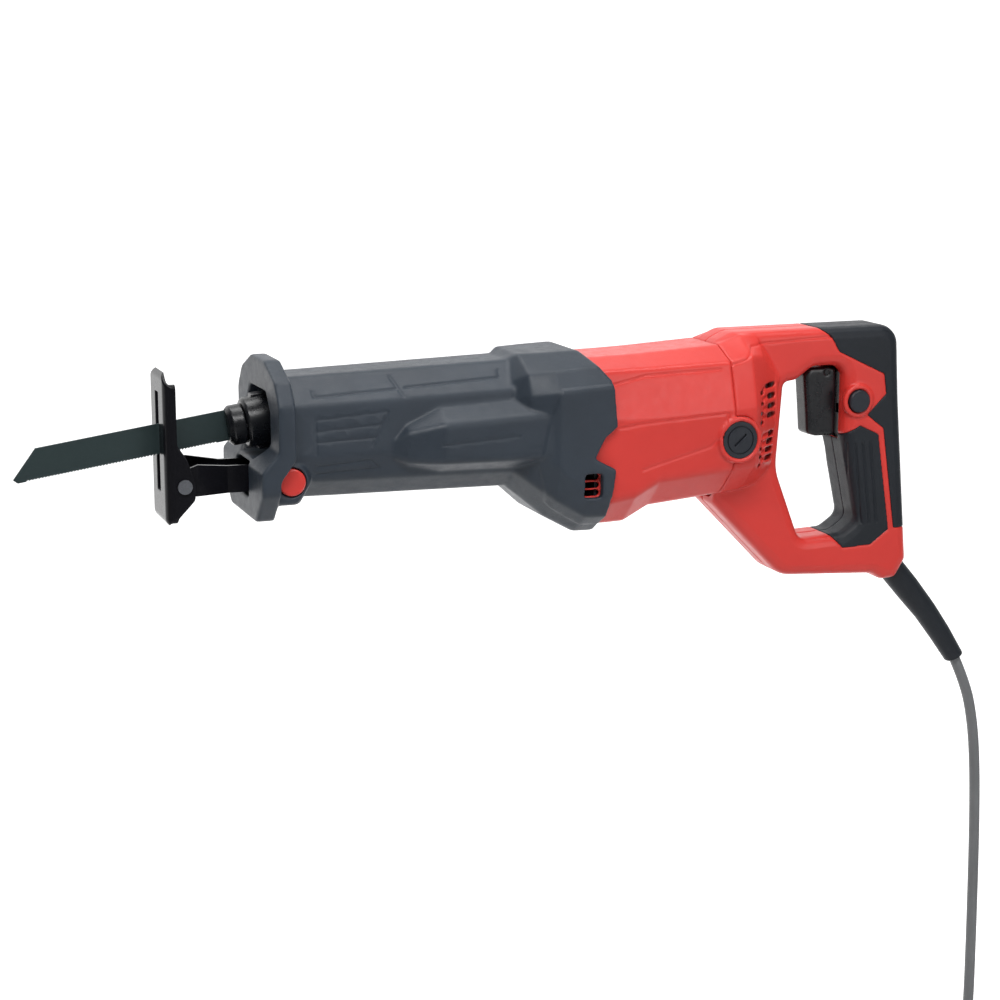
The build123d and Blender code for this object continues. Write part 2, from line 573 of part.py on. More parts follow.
def cooling_fan():
    disc = on_motor(-215, -213, 30) + on_motor(-215, -203, 9)
    blade_shape = box((-213.2, -0.8, MOTOR_Z + 8.5), (-204, 0.8, MOTOR_Z + 29.5))
    return disc + polar(11, blade_shape, MOTOR_AXIS) - on_motor(-300, 0, 5)


def bearing(x0, x1, outer, inner):
    return on_motor(x0, x1, outer) - on_motor(x0 - 1, x1 + 1, inner)


def field_core():
    reach, whole = FIELD_R, on_motor(CORE_FRONT, CORE_REAR, FIELD_R)
    pole = box((-300, -14, MOTOR_Z - reach), (0, 14, MOTOR_Z + reach)) & whole
    shoe = box((-300, -19, MOTOR_Z - reach), (0, 19, MOTOR_Z + reach)) & on_motor(
        CORE_FRONT, CORE_REAR, 22)
    return whole - on_motor(-300, 0, 28.5) + pole + shoe - on_motor(-300, 0, ARMATURE_R + 0.6)


def field_coils():
    coils = []
    for side in (-1, 1):
        z = MOTOR_Z + side * 19
        loop = box((CORE_FRONT - 7, -18.8, z - 1.8), (CORE_REAR + 7, 18.8, z + 1.8))
        loop -= box((CORE_FRONT - 1, -14.4, z - 5), (CORE_REAR + 1, 14.4, z + 5))
        loop -= on_motor(-300, 0, 22.1) & box((CORE_FRONT, -60, -60), (CORE_REAR, 60, 120))
        coils.append(loop - on_motor(-300, 0, 16.4))
    return coils


def motor_housing():
    shell = body_along(MOTOR) + [rod((BRUSH_X, s * 33, MOTOR_Z), (BRUSH_X, s * 46.6, MOTOR_Z), BOSS_R)
                                 for s in (-1, 1)]
    shell -= body_along(MOTOR, MOTOR_WALL) & box((-224, -60, -60), (PARTING_X + 0.1, 60, 120))
    shell -= box((-230, -60, -60), (-223, 60, 120))
    shell -= on_motor(-224, -100, 33)
    for s in (-1, 1):
        shell -= rod((BRUSH_X, s * 20, MOTOR_Z), (BRUSH_X, s * 60, MOTOR_Z), CAP_R + 0.15)
        for z in (-2.4, 2.4, 7.2):
            shell -= box((-210, min(s * 35, s * 60), z), (-199.4, max(s * 35, s * 60), z + 3.4))
    webs = box((CORE_FRONT, -50, MOTOR_Z - 2), (CORE_REAR, 50, MOTOR_Z + 2)) - on_motor(-300, 0, 33)
    webs &= body_along(MOTOR, MOTOR_WALL - 0.5)
    return (shell + webs).solids().sort_by(SortBy.VOLUME)[-1]


def fan_baffle():
    plate = body_along(MOTOR, MOTOR_WALL + 0.2) & box((-201.5, -60, -60), (-199.9, 60, 120))
    return plate - on_motor(-300, 0, 21)


def brush_holders():
    return [box((BRUSH_X - 5.5, min(s * 14, s * 41), MOTOR_Z - 4.5),
                (BRUSH_X + 5.5, max(s * 14, s * 41), MOTOR_Z + 4.5))
            - box((BRUSH_X - 3.6, -60, MOTOR_Z - 2.8), (BRUSH_X + 3.6, 60, MOTOR_Z + 2.8))
            for s in (-1, 1)]


def carbon_brushes():
    return [box((BRUSH_X - 3.5, min(s * 12.15, s * 29), MOTOR_Z - 2.7),
                (BRUSH_X + 3.5, max(s * 12.15, s * 29), MOTOR_Z + 2.7)) for s in (-1, 1)]


def brush_caps():
    caps = []
    for s in (-1, 1):
        cap = rod((BRUSH_X, s * 41.1, MOTOR_Z), (BRUSH_X, s * 45.6, MOTOR_Z), CAP_R)
        cap -= ring((BRUSH_X, s * 44.9, MOTOR_Z), (BRUSH_X, s * 50, MOTOR_Z), 8.6, 7.8)
        slot = Pos(BRUSH_X, s * 45.6, MOTOR_Z) * Rot(0, -42, 0) * Box(10, 2.4, 1.3)
        caps.append(cap - slot)
    return caps


def motor_end_bracket():
    hub = on_motor(-93, -78, 15) - on_motor(-90, -70, 11) - on_motor(-100, -70, 6)
    arms = box((-93, -26, MOTOR_Z - 5), (-88, 26, MOTOR_Z + 5)) + box(
        (-93, -5, MOTOR_Z - 26), (-88, 5, MOTOR_Z + 30))
    return hub + (arms - on_motor(-100, -70, 14.9)) & handle_blank(HANDLE_WALL + 0.1)


# ---- Handle ---------------------------------------------------------------------------------------
def handle_parts():
    """Both handle halves and the four soft grips, cut from one blank."""
    blank = handle_blank(0)
    hollow = handle_blank(HANDLE_WALL)
    skin = blank - handle_blank(GRIP_PAD)
    bosses = [rod((x, -16, z), (x, 16, z), 4.6) for x, z in HANDLE_SCREWS]
    shell = blank - hollow + [boss & handle_blank(0.8) for boss in bosses]
    shell += rod((LOCK_X, -20.2, LOCK_Z), (LOCK_X, -16, LOCK_Z), LOCK_R + 3.4)
    shell -= rod((LOCK_X, -22, LOCK_Z), (LOCK_X, -8, LOCK_Z), LOCK_R + 0.3)
    for x, z in HANDLE_SCREWS:
        shell -= rod((x, -12, z), (x, 30, z), 1.9) + rod((x, 13, z), (x, 30, z), 3.7)
    for s in (-1, 1):
        shell -= rod((BRUSH_X, s * 30, MOTOR_Z), (BRUSH_X, s * 60, MOTOR_Z), BOSS_R + 0.15)
    slot = box((-48, -TRIGGER_HALF - GAP, 15.5), (-18, TRIGGER_HALF + GAP, 63.5))
    shell -= slot
    skin -= slot
    shell -= cord_guard()
    for z, length in VENT_ROWS:
        shell -= box((-77.5 - length, -60, z - 1.5), (-75.5, -12, z + 1.5))
        shell -= box((-77.5 - length, 12, z - 1.5), (-75.5, 60, z + 1.5))
        shell -= box((-92.5, -60, z - 4.4), (-89, -20, z - 2.2))
        shell -= box((-92.5, 20, z - 4.4), (-89, 60, z - 2.2))
    halves = {"left": box((-200, -90, -120), (60, 0, 120)), "right": box((-200, 0, -120), (60, 90, 120))}
    parts = {}
    for side, room in halves.items():
        body = shell & room
        for grip, outline in (("rear", REAR_PAD), ("front", FRONT_PAD)):
            pad = skin & prism(outline, -60, 60) & room
            for x, z in HANDLE_SCREWS:
                pad -= rod((x, 0, z), (x, 30, z), 3.7)
            pad = pad.solids().sort_by(SortBy.VOLUME)[-1]
            body -= pad
            parts[f"{grip}_grip_{side}"] = pad
        parts[f"handle_{side}"] = body.solids().sort_by(SortBy.VOLUME)[-1]
    return parts


def handle_screws():
    return [rod((x, -11, z), (x, 13, z), 1.9) + rod((x, 13, z), (x, 15.5, z), 3.5)
            for x, z in HANDLE_SCREWS]


TRIGGER_PIVOT = (-33.0, 58.0)


def trigger():
    outline = [(-48.6, 56, 3), (-46.4, 31, 20), (-45.6, 19, 3), (-39, 17, 3), (-25.5, 17, 2),
               (-25.5, 60.6, 2), (-45, 60.6, 4)]
    layers = [(2.2, 0.0), (0.9, 0.6), (0.2, 2.2)]
    steps = [(-(TRIGGER_HALF - d), a) for a, d in layers] + [
        (TRIGGER_HALF - d, a) for a, d in reversed(layers)]
    body = loft([rounded_face(side_plane(y), inset(outline, a)) for y, a in steps],
                ruled=True)
    x, z = TRIGGER_PIVOT
    return body - rod((x, -20, z - 1), (x, 20, z - 1), 1.55)


def trigger_pin():
    x, z = TRIGGER_PIVOT
    return rod((x, 0.4 - TRIGGER_HALF, z - 1), (x, TRIGGER_HALF - 0.4, z - 1), 1.5)


def lock_on_button():
    cap = rod((LOCK_X, -22.0, LOCK_Z), (LOCK_X, -14.6, LOCK_Z), LOCK_R)
    return chamfer(cap.edges().sort_by(Axis.Y)[0], 0.7)


def switch_body():
    return box((-20.5, -11, 12), (4, 9, 56)) - box((-21, -3, 30), (-17, 3, 36))


def capacitor():
    can = box((-9, -8, -24), (5, 8, 2))
    return fillet(can.edges().filter_by(Axis.Z), 3)


# ---- Cord -------------------------------------------------------------------------------------------
GUARD_LINE = [(8, 0, -58.5), (20.3, 0, -71.8), (33, 0, -86.4), (47.1, 0, -103.1),
              (58.9, 0, -119.2), (69.9, 0, -135.6)]
GUARD_NECK = 6.0
GUARD_RADII = [8.4, 8.3, 7.5, 7.0, 6.3]
RING_X, RING_Z = 93.0 + RING_R, -465.0
CORD_ROUTE = [(69.9, 0, -135.6), (80.0, 0, -155.5), (86.2, 0, -181), (89.4, 0, -209),
              (91.2, 0, -246), (92.2, 0, -290), (92.8, 0, -340), (93.0, 0, -388), (93.05, 0, -436)]
TAIL_ROUTE = [(93.4, 0, -494), (92.6, 0, -514), (92.2, 0, -536), (92.2, 0, -560)]
PLUG_TOP, PLUG_SPREAD = TAIL_ROUTE[-1], 9.5      # half the distance between the plug's pins
PLUG_STEPS = [(0, 5), (16, 7), (25, 14), (40, 17.5), (47, 17.5)]    # (distance down, radius)


def cord_guard():
    """Tapered strain relief; its neck is held in the handle."""
    line = GUARD_LINE[1:]
    faces = []
    for i, (spot, radius) in enumerate(zip(line, GUARD_RADII)):
        last = i == len(line) - 1
        before = spot if last else GUARD_LINE[i]
        after = CORD_ROUTE[1] if last else line[i + 1]
        faces.append(Plane(origin=spot, z_dir=Vector(*after) - Vector(*before)) * Circle(radius))
    return loft(faces, ruled=True) + rod(GUARD_LINE[0], GUARD_LINE[1], GUARD_NECK)


def bend_radii(route):
    """An arc at each corner, as large as the two runs beside it allow."""
    radii = []
    for before, here, after in zip(route, route[1:], route[2:]):
        back, on = Vector(*before) - Vector(*here), Vector(*after) - Vector(*here)
        turn = radians(180 - back.get_angle(on))
        radii.append(0.45 * min(back.length, on.length) / tan(turn / 2))
    return radii


def cord_tube(route):
    radii = bend_radii(route)
    path = FilletPolyline(*route, radius=radii)
    start = Plane(origin=route[0], z_dir=Vector(*route[1]) - Vector(*route[0]))
    tube_solid = sweep(start * Circle(CORD_D / 2), path=path)
    print("cord arcs", [round(r) for r in radii], "volume over section times length",
          round(tube_solid.volume / (pi * CORD_D ** 2 / 4 * path.length), 4))
    return tube_solid


def cord_coil():
    return Pos(RING_X, 0, RING_Z) * Rot(90, 0, 0) * Torus(RING_R, RING_SECTION)


def cord():
    coil = cord_coil()
    return [cord_tube(CORD_ROUTE) - coil, cord_tube(TAIL_ROUTE) - coil]


def cord_tie():
    top = RING_Z + RING_R
    strap = rod((RING_X - 6, 0, top), (RING_X + 6, 0, top), RING_SECTION + 1.6)
    return strap - cord_coil()


def plug_body():
    x, y, z = PLUG_TOP
    faces = [Plane(origin=(x, y, z - down)) * Circle(radius) for down, radius in PLUG_STEPS]
    return loft(faces, ruled=True)


def plug_pins():
    x, _, z = PLUG_TOP
    base = z - PLUG_STEPS[-1][0]
    return [rod((x, s * PLUG_SPREAD, base), (x, s * PLUG_SPREAD, base - 19), 2.4) for s in (-1, 1)]


def cord_clamp():
    saddle = box((-16, -9, -66), (-5, 9, -55))
    return saddle - rod((-20, 0, -60), (0, 0, -60), CORD_D / 2)


# ---- All nodes --------------------------------------------------------------------------------------
PARTS = {
    "saw_blade": blade(), "blade_clamp_sleeve": clamp_sleeve(), "clamp_nose": clamp_nose(),
    "clamp_pin": clamp_pin(), "plunger": plunger(), "drive_yoke": drive_yoke(),
    "yoke_screws": yoke_screws(), "plunger_front_bush": plunger_bush("plunger_front_bush"),
    "plunger_rear_bush": plunger_bush("plunger_rear_bush"), "plunger_seal": plunger_seal(),
    "crank_gear": crank_gear(), "crank_shaft": crank_shaft(), "crank_pin": crank_pin(),
    "crank_roller": crank_roller(), "crank_bearing": crank_bearing(),
    "gear_housing": gear_housing(), "gear_housing_cover": gear_housing_cover(),
    "case_screws": case_screws(), "front_cover": front_cover(),
    "shoe_plate": shoe_plate(), "shoe_rivet": shoe_rivet(), "shoe_arm": shoe_arm(),
    "shoe_lock_button": shoe_lock_button(),
    "armature_shaft": armature_shaft(), "pinion": pinion(), "armature_core": armature_core(),
    "armature_windings": armature_windings(), "commutator": commutator(),
    "cooling_fan": cooling_fan(), "front_bearing": bearing(*BEARING_FRONT, 13, 5.04),
    "rear_bearing": bearing(-88, -80, 11, 4.04), "field_core": field_core(),
    "field_coils": field_coils(), "motor_housing": motor_housing(), "fan_baffle": fan_baffle(),
    "brush_holders": brush_holders(), "carbon_brushes": carbon_brushes(),
    "brush_caps": brush_caps(), "motor_end_bracket": motor_end_bracket(),
    "handle_screws": handle_screws(), "trigger": trigger(), "trigger_pin": trigger_pin(),
    "lock_on_button": lock_on_button(), "switch_body": switch_body(), "capacitor": capacitor(),
    "cord_guard": cord_guard(), "cord_clamp": cord_clamp(), "cord": cord(),
    "cord_coil": cord_coil(), "cord_tie": cord_tie(), "plug_body": plug_body(),
    "plug_pins": plug_pins(), **handle_parts()}

os.makedirs("parts", exist_ok=True)
for name, shape in PARTS.items():
    solids = shape if isinstance(shape, list) else [shape]
    whole = Compound(children=[solid for item in solids for solid in item.solids()])
    export_step(whole, f"parts/{name}.step")
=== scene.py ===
"""Looks, studio and camera of the corded reciprocating saw, built on its frame."""
import json
import math

import bpy
import numpy as np
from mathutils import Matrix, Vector

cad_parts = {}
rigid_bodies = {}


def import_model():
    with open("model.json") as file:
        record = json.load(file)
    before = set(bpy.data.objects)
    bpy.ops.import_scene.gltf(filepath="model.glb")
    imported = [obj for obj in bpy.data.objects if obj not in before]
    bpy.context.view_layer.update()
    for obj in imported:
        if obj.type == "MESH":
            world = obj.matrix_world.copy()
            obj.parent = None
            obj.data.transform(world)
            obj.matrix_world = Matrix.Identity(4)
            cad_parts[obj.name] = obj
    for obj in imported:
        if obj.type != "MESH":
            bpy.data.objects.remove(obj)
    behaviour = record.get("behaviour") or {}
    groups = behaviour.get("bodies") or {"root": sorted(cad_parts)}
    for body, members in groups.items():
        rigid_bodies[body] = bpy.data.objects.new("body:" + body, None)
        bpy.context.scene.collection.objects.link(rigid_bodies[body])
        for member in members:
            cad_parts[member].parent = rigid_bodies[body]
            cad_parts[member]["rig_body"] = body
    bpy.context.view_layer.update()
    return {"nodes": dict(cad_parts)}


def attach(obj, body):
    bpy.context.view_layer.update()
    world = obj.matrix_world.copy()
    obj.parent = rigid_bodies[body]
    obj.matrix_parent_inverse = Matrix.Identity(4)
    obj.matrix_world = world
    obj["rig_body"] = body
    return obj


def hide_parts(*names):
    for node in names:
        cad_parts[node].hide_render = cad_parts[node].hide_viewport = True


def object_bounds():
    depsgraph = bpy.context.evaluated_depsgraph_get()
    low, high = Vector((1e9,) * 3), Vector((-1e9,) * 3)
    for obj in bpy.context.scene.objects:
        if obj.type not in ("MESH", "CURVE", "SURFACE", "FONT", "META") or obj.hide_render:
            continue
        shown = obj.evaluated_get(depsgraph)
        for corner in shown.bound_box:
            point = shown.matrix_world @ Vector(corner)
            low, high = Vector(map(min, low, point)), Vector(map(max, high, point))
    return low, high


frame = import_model()
nodes = frame["nodes"]
MM = 0.001

# ---- Sizes, mm in the row frame ---------------------------------------------------------
CORD_D = 7.0
CORD_ROUTE = [(69.9, 0, -135.6), (80.0, 0, -155.5), (86.2, 0, -181), (89.4, 0, -209),
              (91.2, 0, -246), (92.2, 0, -290), (92.8, 0, -340), (93.0, 0, -388)]
TAIL_ROUTE = [(92.6, 0, -514), (92.2, 0, -536), (92.2, 0, -560)]
RING_X, RING_Z, RING_R = 135.0, -465.0, 42.0
COIL_LANES = [(6.6, -3.8), (0, -7.6), (-6.6, -3.8), (0, 0), (-6.6, 3.8), (0, 7.6), (6.6, 3.8),
              (6.6, 11.4)]                 # (outward, across) for each turn, then the way out
SHOE_FACE, SHOE_BACK, SHOE_HALF, BEND_R = -448.6, -441.9, 20.5, 5.5
COARSER = 1.0


# ---- Materials -----------------------------------------------------------------------------
def new_material(name):
    """A material with its node tree and its shader."""
    mat = bpy.data.materials.new(name)
    mat.use_nodes = True
    return mat, mat.node_tree, mat.node_tree.nodes["Principled BSDF"]


def add(tree, kind, **inputs):
    """A shader node; inputs are given by their names, with _ for a blank."""
    node = tree.nodes.new(kind)
    for key, value in inputs.items():
        node.inputs[key.replace("_", " ")].default_value = value
    return node


def noise(tree, scale, detail=2.0, rough=0.5, stretch=None):
    """Noise that is fixed to the object, drawn out along its axes by stretch."""
    coords = tree.nodes.new("ShaderNodeTexCoord")
    node = add(tree, "ShaderNodeTexNoise", Scale=scale, Detail=detail, Roughness=rough)
    source = coords.outputs["Object"]
    if stretch:
        mapping = add(tree, "ShaderNodeMapping", Scale=stretch)
        tree.links.new(source, mapping.inputs["Vector"])
        source = mapping.outputs["Vector"]
    tree.links.new(source, node.inputs["Vector"])
    return node


def ramp(tree, source, low, high, start=0.3, end=0.7):
    """Maps a value between two colours or grey levels."""
    node = tree.nodes.new("ShaderNodeValToRGB")
    node.color_ramp.elements[0].position, node.color_ramp.elements[1].position = start, end
    for stop, level in zip(node.color_ramp.elements, (low, high)):
        stop.color = (*(level if isinstance(level, tuple) else (level,) * 3), 1)
    tree.links.new(source, node.inputs["Fac"])
    return node


def scaled(colour, factor):
    return tuple(min(1.0, c * factor) for c in colour)


def moulded(name, colour, rough, grain=2600.0, grain_depth=0.05, vary=0.12, wear=0.25,
            shine=0.3):
    """Moulded plastic or rubber: fine grain, cloudy colour and gloss, paler worn edges."""
    mat, tree, shader = new_material(name)
    cloud = noise(tree, 22.0, 4.0, 0.6)
    body = ramp(tree, cloud.outputs["Fac"], scaled(colour, 1 - vary), scaled(colour, 1 + vary))
    edge = tree.nodes.new("ShaderNodeNewGeometry")
    edge_mask = ramp(tree, edge.outputs["Pointiness"], 0.0, 1.0, 0.52, 0.62)
    scuff = noise(tree, 160.0, 5.0, 0.7)
    scuff_mask = ramp(tree, scuff.outputs["Fac"], 0.0, wear, 0.35, 0.75)
    mask = tree.nodes.new("ShaderNodeMath")
    mask.operation = "MULTIPLY"
    tree.links.new(edge_mask.outputs["Color"], mask.inputs[0])
    tree.links.new(scuff_mask.outputs["Color"], mask.inputs[1])
    mix = tree.nodes.new("ShaderNodeMixRGB")
    mix.inputs["Color2"].default_value = (*[c * 0.7 + 0.12 for c in colour], 1)
    tree.links.new(mask.outputs[0], mix.inputs["Fac"])
    tree.links.new(body.outputs["Color"], mix.inputs["Color1"])
    tree.links.new(mix.outputs["Color"], shader.inputs["Base Color"])
    gloss = ramp(tree, scuff.outputs["Fac"], rough - 0.05, rough + 0.08)
    tree.links.new(gloss.outputs["Color"], shader.inputs["Roughness"])
    fine = noise(tree, grain, 2.0, 0.6)
    bump = add(tree, "ShaderNodeBump", Strength=grain_depth * 4, Distance=0.0002)
    tree.links.new(fine.outputs["Fac"], bump.inputs["Height"])
    tree.links.new(bump.outputs["Normal"], shader.inputs["Normal"])
    shader.inputs["Specular IOR Level"].default_value = shine
    return mat


def metal(name, colour, rough, lines=None, metallic=1.0, vary=0.15, shine=0.5):
    """Machined, cast or coated metal; lines stretches its grain into brush marks."""
    mat, tree, shader = new_material(name)
    shader.inputs["Metallic"].default_value = metallic
    shader.inputs["Specular IOR Level"].default_value = shine
    grain = noise(tree, 900.0, 6.0, 0.7, lines)
    body = ramp(tree, grain.outputs["Fac"], scaled(colour, 1 - vary), scaled(colour, 1 + vary))
    tree.links.new(body.outputs["Color"], shader.inputs["Base Color"])
    gloss = ramp(tree, grain.outputs["Fac"], max(rough - 0.08, 0.05), rough + 0.1)
    tree.links.new(gloss.outputs["Color"], shader.inputs["Roughness"])
    bump = add(tree, "ShaderNodeBump", Strength=0.12, Distance=0.0002)
    tree.links.new(grain.outputs["Fac"], bump.inputs["Height"])
    tree.links.new(bump.outputs["Normal"], shader.inputs["Normal"])
    return mat


SLATE = moulded("cover_rubber", (0.026, 0.035, 0.048), 0.42, grain=1900, grain_depth=0.10,
                wear=0.12, shine=0.34)
RED = moulded("red_plastic", (0.62, 0.040, 0.032), 0.34, grain=3000, grain_depth=0.03, wear=0.10,
              vary=0.05, shine=0.36)
SOFT = moulded("soft_grip", (0.010, 0.013, 0.018), 0.46, grain=1500, grain_depth=0.14, wear=0.12,
               shine=0.30)
BLACK = moulded("black_plastic", (0.006, 0.007, 0.009), 0.28, grain=2600, grain_depth=0.04,
                wear=0.12, shine=0.45)
SHEATH = moulded("cord_sheath", (0.15, 0.155, 0.16), 0.46, grain=1500, grain_depth=0.08)
CAP = moulded("cap_plastic", (0.016, 0.019, 0.026), 0.40, grain=2200, grain_depth=0.08, wear=0.1)
CARBON = moulded("carbon", (0.03, 0.03, 0.03), 0.6)
ENAMEL = metal("black_steel", (0.006, 0.006, 0.008), 0.16, metallic=0.0, shine=0.16)
BLADE = metal("blade_coat", (0.020, 0.036, 0.038), 0.40, lines=(1, 8, 12), metallic=0.25)
STEEL = metal("bright_steel", (0.55, 0.55, 0.57), 0.28, lines=(1, 10, 10))
RIVET = metal("rivet_steel", (0.20, 0.21, 0.23), 0.35)
CAST = metal("casting", (0.60, 0.61, 0.63), 0.48)
BRONZE = metal("bronze", (0.62, 0.40, 0.18), 0.34)
COPPER = metal("copper_wire", (0.55, 0.22, 0.09), 0.32, lines=(1, 30, 30))
LAMINATED = metal("laminated_steel", (0.36, 0.37, 0.40), 0.42, lines=(60, 1, 1))

LOOKS = {
    SLATE: ["front_cover"],
    RED: ["motor_housing", "handle_left", "handle_right", "shoe_lock_button"],
    SOFT: ["front_grip_left", "front_grip_right", "rear_grip_left", "rear_grip_right", "cord_guard",
           "fan_baffle", "plunger_seal"],
    BLACK: ["blade_clamp_sleeve", "clamp_nose", "trigger", "switch_body", "cord_clamp", "plug_body",
            "cooling_fan", "cord_tie", "trigger_pin"],
    CAP: ["brush_caps", "lock_on_button"],
    ENAMEL: ["shoe_plate", "shoe_arm"],
    BLADE: ["saw_blade"],
    RIVET: ["shoe_rivet"],
    STEEL: ["plunger", "drive_yoke", "yoke_screws", "clamp_pin", "crank_gear", "crank_shaft",
            "crank_pin", "crank_roller", "crank_bearing", "armature_shaft", "pinion",
            "front_bearing", "rear_bearing", "case_screws", "handle_screws"],
    LAMINATED: ["armature_core", "field_core"],
    CAST: ["gear_housing", "gear_housing_cover", "motor_end_bracket", "capacitor"],
    BRONZE: ["plunger_front_bush", "plunger_rear_bush", "commutator", "brush_holders", "plug_pins"],
    COPPER: ["armature_windings", "field_coils"],
    CARBON: ["carbon_brushes"],
    SHEATH: ["cord", "cord_coil"]}


def dress_nodes():
    """Every carried-over node gets its material, soft edges and smooth shading."""
    for material, names in LOOKS.items():
        for name in names:
            node = nodes[name]
            node.data.materials.clear()
            node.data.materials.append(material)
            for face in node.data.polygons:
                face.use_smooth = True
            if name in REBUILT or name in ("cord", "cord_coil", "crank_gear", "pinion"):
                continue
            edge = node.modifiers.new("edges", "BEVEL")
            edge.width, edge.segments = EDGE.get(name, PLAIN_EDGE) * MM, 2
            edge.limit_method, edge.angle_limit = "ANGLE", math.radians(38)
            edge.harden_normals = True


# ---- Moulded shells --------------------------------------------------------------------------
REBUILT = {"front_cover": (0.85, 14), "motor_housing": (0.85, 9), "handle_left": (0.75, 9),
           "handle_right": (0.75, 9), "rear_grip_left": (0.6, 5), "rear_grip_right": (0.6, 5),
           "front_grip_left": (0.6, 6), "front_grip_right": (0.6, 6), "trigger": (0.45, 30),
           "cord_guard": (0.5, 6), "shoe_plate": (0.4, 7), "clamp_nose": (0.35, 14),
           "blade_clamp_sleeve": (0.35, 14)}        # voxel size in mm, smoothing rounds
EDGE = {"shoe_lock_button": 0.5, "lock_on_button": 0.4, "shoe_rivet": 0.6, "saw_blade": 0.12,
        "brush_caps": 0.3}                            # bevel width in mm
PLAIN_EDGE = 0.25
MOST_TRIANGLES = 180000


def evaluated(obj):
    """The object's mesh with its modifiers applied."""
    bpy.context.view_layer.update()
    graph = bpy.context.evaluated_depsgraph_get()
    return bpy.data.meshes.new_from_object(obj.evaluated_get(graph))


def remoulded(node_name, carve=None):
    """The node's shape as one soft-edged moulding, with its engraved lines."""
    voxel, rounds = REBUILT[node_name]
    source = nodes[node_name]
    piece = bpy.data.objects.new(node_name + "_moulding", source.data.copy())
    bpy.context.scene.collection.objects.link(piece)
    weld = piece.modifiers.new("weld", "WELD")
    weld.merge_threshold = 0.01 * MM
    mesher = piece.modifiers.new("voxels", "REMESH")
    mesher.mode, mesher.voxel_size = "VOXEL", voxel * MM * COARSER
    soften = piece.modifiers.new("soften", "SMOOTH")
    soften.factor, soften.iterations = 0.5, rounds
    piece.data = evaluated(piece)
    piece.modifiers.clear()
    if carve:
        carve(piece.data)
    triangles = 2 * len(piece.data.polygons)
    if triangles > MOST_TRIANGLES:
        thin = piece.modifiers.new("thin", "DECIMATE")
        thin.ratio = MOST_TRIANGLES / triangles
        piece.data = evaluated(piece)
        piece.modifiers.clear()
    piece.data.shade_smooth()
    piece.data.materials.clear()
    piece.data.materials.append(source.data.materials[0])
    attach(piece, source["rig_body"])
    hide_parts(node_name)
    return piece


def vertex_arrays(mesh):
    """The mesh's points in mm and their normals."""
    spots = np.empty(len(mesh.vertices) * 3)
    mesh.vertices.foreach_get("co", spots)
    normals = np.empty(len(mesh.vertices) * 3)
    mesh.vertices.foreach_get("normal", normals)
    return spots.reshape(-1, 3) / MM, normals.reshape(-1, 3)


def line_distance(across, up, line):
    """Distance of each point from a polyline, in the line's own plane."""
    best = np.full(len(across), 1e9)
    for (x0, z0), (x1, z1) in zip(line, line[1:]):
        dx, dz = x1 - x0, z1 - z0
        share = np.clip(((across - x0) * dx + (up - z0) * dz) / (dx * dx + dz * dz), 0, 1)
        best = np.minimum(best, np.hypot(across - x0 - share * dx, up - z0 - share * dz))
    return best


def engrave(mesh, lines, width=0.9, depth=0.7):
    """Presses lines drawn in XZ into the outer walls of both sides."""
    spots, normals = vertex_arrays(mesh)
    outer = side_wall(spots, normals)
    push = np.zeros(len(spots))
    for line in lines:
        distance = line_distance(spots[:, 0], spots[:, 2], line)
        fall = np.clip(1 - distance / width, 0, 1)
        push = np.maximum(push, depth * fall * fall * (3 - 2 * fall))
    moved = spots - normals * (push * outer)[:, None]
    mesh.vertices.foreach_set("co", (moved * MM).ravel())
    mesh.update()


def raise_panel(mesh, outline, height=0.9, slope=1.6):
    """Lifts the outer side walls within a convex outline in XZ, drawn either way round."""
    spots, normals = vertex_arrays(mesh)
    inside = np.full(len(spots), 1e9)
    centre = np.mean(outline, axis=0)
    for (x0, z0), (x1, z1) in zip(outline, outline[1:] + outline[:1]):
        nx, nz = z1 - z0, x0 - x1
        if (centre[0] - x0) * nx + (centre[1] - z0) * nz < 0:
            nx, nz = -nx, -nz
        reach = ((spots[:, 0] - x0) * nx + (spots[:, 2] - z0) * nz) / math.hypot(nx, nz)
        inside = np.minimum(inside, reach)
    lift = np.clip(inside / slope, 0, 1)
    lift = height * lift * lift * (3 - 2 * lift)
    outer = side_wall(spots, normals) & (np.abs(spots[:, 1]) > BELLY_WALL)
    moved = spots.copy()
    moved[:, 1] += np.sign(spots[:, 1]) * lift * outer
    mesh.vertices.foreach_set("co", (moved * MM).ravel())
    mesh.update()


def side_wall(spots, normals):
    """True where the surface faces outwards to either side."""
    return (np.abs(normals[:, 1]) > 0.25) & (normals[:, 1] * spots[:, 1] > 0)


BELLY_WALL = 33                          # the belly's side walls lie beyond this from the middle
SIDE_PANEL = [(-225, 62.5), (-180, 64.8), (-180, -34), (-222, -34), (-228, -14.5), (-238.5, 16.5),
              (-233, 42)]
COVER_LINES = [
    [(-366.6, 31), (-366.6, 50.1), (-324.1, 52.9), (-334.1, 34)],
    [(-366.7, 43.8), (-328, 45.8)], [(-366.8, 37.6), (-331.8, 38.6)],
    [(-365.9, 23.6), (-335.2, 25.8), (-329.3, 20.8)], [(-366.5, 19.2), (-329.3, 20.8)],
    [(-366, 62.2), (-317.1, 64.6)], [(-366, 62.2), (-366, 65)],
    [(-319.3, 71), (-314.4, 60.5)], [(-312.7, 64.9), (-254.5, 67.8), (-254, 71.5)],
    [(-250, 36.2), (-296, 33.4)]]
MOTOR_LINES = [
    [(-187, 36.8), (-173.4, 38.6), (-117.6, 41.8), (-121.5, 28), (-128, 22.5), (-172, 11)],
    [(-192, 61.2), (-168, 66), (-120, 67.5)]]
HANDLE_LINES = [[(-112.3, 69.5), (-102.2, 71.8), (-94.1, 78.1), (-34, 80.7)]]
